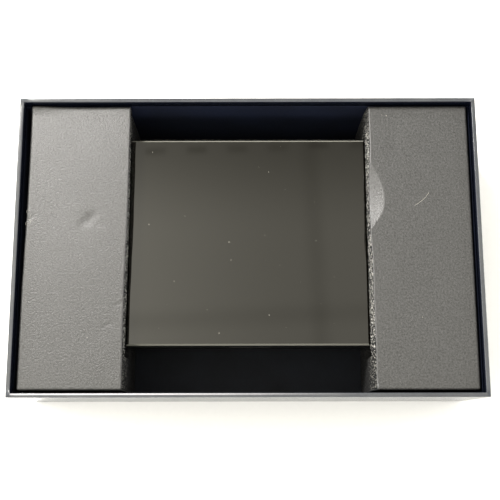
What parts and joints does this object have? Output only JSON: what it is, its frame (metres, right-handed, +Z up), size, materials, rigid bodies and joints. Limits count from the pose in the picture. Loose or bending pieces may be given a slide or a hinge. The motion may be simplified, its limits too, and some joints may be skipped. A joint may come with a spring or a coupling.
{
  "type": "glass negative carrier in a presentation tray",
  "caption": "Closed two-leaf glass negative carrier held at its ends by faced foam cradles in an open rigid tray.",
  "frame": {"origin": "middle of the tray's underside", "axes": "+X along the tray's length, +Y away from the user towards the carrier's hinge, +Z up out of the tray"},
  "size_m": [0.26, 0.169, 0.07],
  "materials": {
    "greyboard": "matt",
    "kraft_tape": "matt",
    "navy_wrap_paper": "satin",
    "navy_lining_paper": "satin",
    "charcoal_facing_paper": "satin",
    "black_foam": "open cell, matt",
    "black_anodised_aluminium": "bead blasted and anodised",
    "gasket_rubber": "matt",
    "clear_glass": "polished",
    "smoked_black_glass": "polished",
    "black_felt": "matt",
    "nickel_plated_magnet": "plated",
    "steel": "satin",
    "bonding_tape": "matt",
    "black_hinge_steel": "blackened"
  },
  "bodies": {
    "tray": {"base_board": "greyboard", "front_wall_board": "greyboard", "rear_wall_board": "greyboard", "left_wall_board": "greyboard", "right_wall_board": "greyboard", "corner_stays": "kraft_tape", "base_wrap": "navy_wrap_paper", "front_wrap": "navy_wrap_paper", "rear_wrap": "navy_wrap_paper", "left_wrap": "navy_wrap_paper", "right_wrap": "navy_wrap_paper", "floor_lining": "navy_lining_paper", "front_lining": "navy_lining_paper", "rear_lining": "navy_lining_paper", "left_lining": "navy_lining_paper", "right_lining": "navy_lining_paper"},
    "insert": {"left_cradle_base_foam": "black_foam", "left_cradle_pocket_foam": "black_foam", "left_cradle_top_foam": "black_foam", "left_cradle_facing": "charcoal_facing_paper", "right_cradle_base_foam": "black_foam", "right_cradle_pocket_foam": "black_foam", "right_cradle_top_foam": "black_foam", "right_cradle_facing": "charcoal_facing_paper", "lower_frame": "black_anodised_aluminium", "lower_gasket": "gasket_rubber", "lower_film_glass": "clear_glass", "light_seal_felt": "black_felt", "closing_magnets": "nickel_plated_magnet", "film_guides": "steel", "lower_hinge_plates": "black_hinge_steel", "lower_hinge_screws": "steel", "hinge_pins": "steel"},
    "upper_leaf": {"upper_frame": "black_anodised_aluminium", "pressure_glass": "clear_glass", "upper_gasket": "gasket_rubber", "cover_bond_tape": "bonding_tape", "cover_glass": "smoked_black_glass", "steel_keepers": "steel", "upper_hinge_plates": "black_hinge_steel", "upper_hinge_screws": "steel"}
  },
  "joints": [
    {"name": "insert_lift", "type": "slide", "parent": "tray", "child": "insert", "axis": [0, 0, 1], "range_m": [0, 0.075]},
    {"name": "leaf_hinge", "type": "hinge", "parent": "insert", "child": "upper_leaf", "pos_m": [0, 0.0658, 0.0399], "axis": [-1, 0, 0], "range_deg": [0, 90]}
  ]
}
